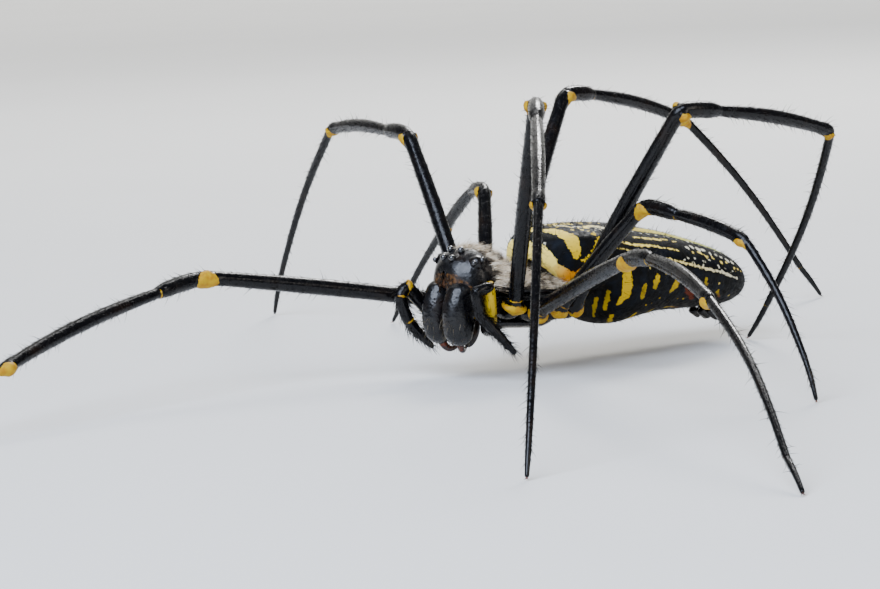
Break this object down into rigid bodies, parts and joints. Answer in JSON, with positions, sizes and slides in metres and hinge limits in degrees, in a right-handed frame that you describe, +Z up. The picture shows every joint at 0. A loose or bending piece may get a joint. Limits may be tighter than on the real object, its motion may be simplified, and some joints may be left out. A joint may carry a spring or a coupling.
{
  "type": "golden silk orb weaver",
  "caption": "Life-size still model of a female golden silk orb weaver spider, standing on long arched legs with a patterned abdomen raised behind.",
  "frame": {"origin": "bottom centre of the bounding box, on the floor between the feet", "axes": "+Z up from the floor; the face points to 218 degrees from +X seen from above, towards -X and -Y"},
  "size_m": [0.1019, 0.1257, 0.0277],
  "materials": {
    "cuticle": "glossy black cuticle with short bristles, yellow membranes at the joints",
    "carapace_down": "black shell under short silver and buff down",
    "abdomen_skin": "soft black skin with cream and yellow bands and rows of dots",
    "fang_horn": "dark red-brown horn, polished",
    "eye_lens": "clear-coated black lens",
    "palp_skin": "yellow and black, satin, with bristles"
  },
  "bodies": {
    "root": {"carapace": "carapace_down", "sternum": "cuticle", "abdomen": "abdomen_skin", "spinnerets": "cuticle", "pedicel": "cuticle", "chelicera_left": "cuticle", "fang_left": "fang_horn", "palp_left": "palp_skin", "eye_front_middle_left": "eye_lens", "eye_rear_middle_left": "eye_lens", "eye_front_side_left": "eye_lens", "eye_rear_side_left": "eye_lens", "chelicera_right": "cuticle", "fang_right": "fang_horn", "palp_right": "palp_skin", "eye_front_middle_right": "eye_lens", "eye_rear_middle_right": "eye_lens", "eye_front_side_right": "eye_lens", "eye_rear_side_right": "eye_lens", "left_1_coxa": "cuticle", "left_1_femur": "cuticle", "left_1_patella": "cuticle", "left_1_tibia": "cuticle", "left_1_foot": "cuticle", "left_2_coxa": "cuticle", "left_2_femur": "cuticle", "left_2_patella": "cuticle", "left_2_tibia": "cuticle", "left_2_foot": "cuticle", "left_3_coxa": "cuticle", "left_3_femur": "cuticle", "left_3_patella": "cuticle", "left_3_tibia": "cuticle", "left_3_foot": "cuticle", "left_4_coxa": "cuticle", "left_4_femur": "cuticle", "left_4_patella": "cuticle", "left_4_tibia": "cuticle", "left_4_foot": "cuticle", "right_1_coxa": "cuticle", "right_1_femur": "cuticle", "right_1_patella": "cuticle", "right_1_tibia": "cuticle", "right_1_foot": "cuticle", "right_2_coxa": "cuticle", "right_2_femur": "cuticle", "right_2_patella": "cuticle", "right_2_tibia": "cuticle", "right_2_foot": "cuticle", "right_3_coxa": "cuticle", "right_3_femur": "cuticle", "right_3_patella": "cuticle", "right_3_tibia": "cuticle", "right_3_foot": "cuticle", "right_4_coxa": "cuticle", "right_4_femur": "cuticle", "right_4_patella": "cuticle", "right_4_tibia": "cuticle", "right_4_foot": "cuticle"}
  },
  "joints": []
}
